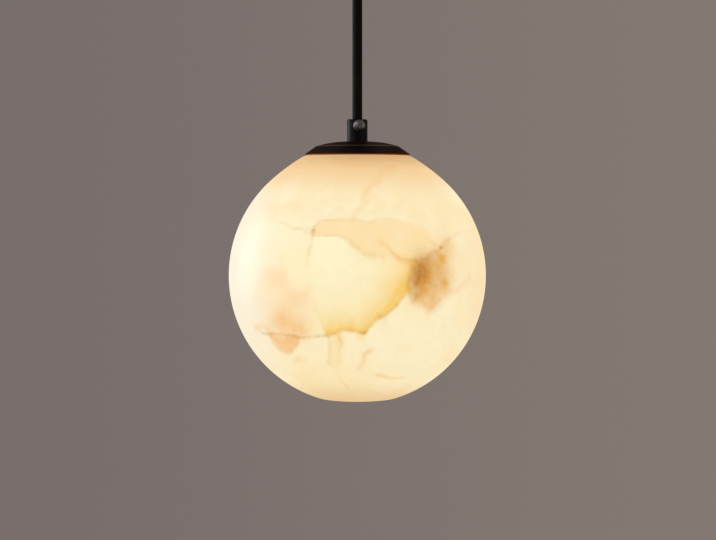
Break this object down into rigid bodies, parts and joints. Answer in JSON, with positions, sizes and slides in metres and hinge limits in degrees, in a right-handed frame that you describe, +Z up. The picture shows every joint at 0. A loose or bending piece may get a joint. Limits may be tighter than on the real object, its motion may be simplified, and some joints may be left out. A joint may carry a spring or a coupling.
{
  "type": "globe pendant light",
  "caption": "Pendant light: a hollow veined marble globe under a small dark metal cap, hung on a black flex from a round ceiling canopy.",
  "frame": {"origin": "centre of the two ceiling screw slots, on the ceiling plane", "axes": "+Z up out of the bracket into the ceiling, -Y towards the viewer of the picture, +X to the right"},
  "size_m": [0.15, 0.15, 0.2823],
  "materials": {
    "marble": "honed, lit from inside, with brown and orange veins",
    "black_metal": "satin black",
    "bronze_black_metal": "satin bronze-black",
    "black_screw": "glossy black",
    "black_flex": "smooth matte black",
    "zinc_steel": "zinc plated",
    "ring_aluminium": "machined",
    "brass": "plain",
    "silicone": "translucent white silicone",
    "holder_ceramic": "glazed white",
    "bulb_plastic": "white",
    "frosted_cover": "frosted, lit",
    "led_board": "white board with yellow chips",
    "block_plastic": "natural polyamide",
    "brown_core": "brown",
    "blue_core": "blue",
    "earth_core": "green and yellow"
  },
  "bodies": {
    "bracket": {"ceiling_bracket": "zinc_steel", "mounting_studs": "zinc_steel", "stud_locknuts": "zinc_steel"},
    "canopy": {"canopy_cup": "black_metal", "canopy_cord_grip": "black_metal", "canopy_grip_washer": "zinc_steel", "canopy_grip_nut": "zinc_steel", "cord_canopy_end": "black_flex", "canopy_core_live": "brown_core", "canopy_core_neutral": "blue_core", "canopy_core_earth": "earth_core", "terminal_block": "block_plastic", "terminal_tubes": "brass", "terminal_screws": "zinc_steel", "canopy_earth_lead": "earth_core", "canopy_earth_lug": "brass", "canopy_earth_nut": "zinc_steel"},
    "cap_nut_left": {"cap_nut_left": "black_metal"},
    "cap_nut_right": {"cap_nut_right": "black_metal"},
    "canopy_grip_screw": {"canopy_grip_screw": "black_screw"},
    "cord": {"cord": "black_flex"},
    "lamp": {"lamp_cord_grip": "black_metal", "cord_lamp_end": "black_flex", "lamp_cap": "bronze_black_metal", "threaded_fitter": "zinc_steel", "lampholder_strap": "zinc_steel", "lamp_spacer": "zinc_steel", "lamp_grip_nut": "zinc_steel", "lamp_core_live": "brown_core", "lamp_core_neutral": "blue_core", "lamp_core_earth": "earth_core", "lamp_earth_lug": "brass", "lamp_earth_screw": "zinc_steel", "lampholder_body": "holder_ceramic", "lampholder_contacts": "brass", "lampholder_screws": "zinc_steel"},
    "lamp_grip_screw": {"lamp_grip_screw": "black_screw"},
    "gasket": {"gasket": "silicone"},
    "globe": {"globe_upper": "marble", "globe_lower": "marble", "globe_ring": "ring_aluminium"},
    "bulb": {"bulb_base": "bulb_plastic", "bulb_pins": "zinc_steel", "bulb_cover": "frosted_cover", "bulb_led_board": "led_board"}
  },
  "joints": [
    {"name": "canopy_lower", "type": "slide", "parent": "bracket", "child": "canopy", "axis": [0, 0, -1], "range_m": [0, 0.03]},
    {"name": "left_cap_nut_turn", "type": "hinge", "parent": "canopy", "child": "cap_nut_left", "pos_m": [-0.038, 0, -0.03], "axis": [0, 0, 1], "continuous": true},
    {"name": "right_cap_nut_turn", "type": "hinge", "parent": "canopy", "child": "cap_nut_right", "pos_m": [0.038, 0, -0.03], "axis": [0, 0, 1], "continuous": true},
    {"name": "canopy_grip_screw_turn", "type": "hinge", "parent": "canopy", "child": "canopy_grip_screw", "pos_m": [0.007, 0, -0.0345], "axis": [1, 0, 0], "continuous": true},
    {"name": "pendant_swing", "type": "hinge", "parent": "canopy", "child": "cord", "pos_m": [0, 0, -0.0345], "axis": [1, 0, 0], "range_deg": [-25, 25]},
    {"name": "lamp_tilt", "type": "hinge", "parent": "cord", "child": "lamp", "pos_m": [0, 0, -0.12125], "axis": [0, 1, 0], "range_deg": [-15, 15]},
    {"name": "lamp_grip_screw_turn", "type": "hinge", "parent": "lamp", "child": "lamp_grip_screw", "pos_m": [0, 0, -0.12125], "axis": [0.1908, -0.9816, 0], "continuous": true},
    {"name": "globe_drop", "type": "slide", "parent": "lamp", "child": "gasket", "axis": [0, 0, -1], "range_m": [0, 0.115]},
    {"name": "globe_turn", "type": "hinge", "parent": "gasket", "child": "globe", "pos_m": [0, 0, -0.20862], "axis": [0, 0, 1], "range_deg": [0, 540]},
    {"name": "bulb_pull", "type": "slide", "parent": "lamp", "child": "bulb", "axis": [0, 0, -1], "range_m": [0, 0.02]}
  ]
}
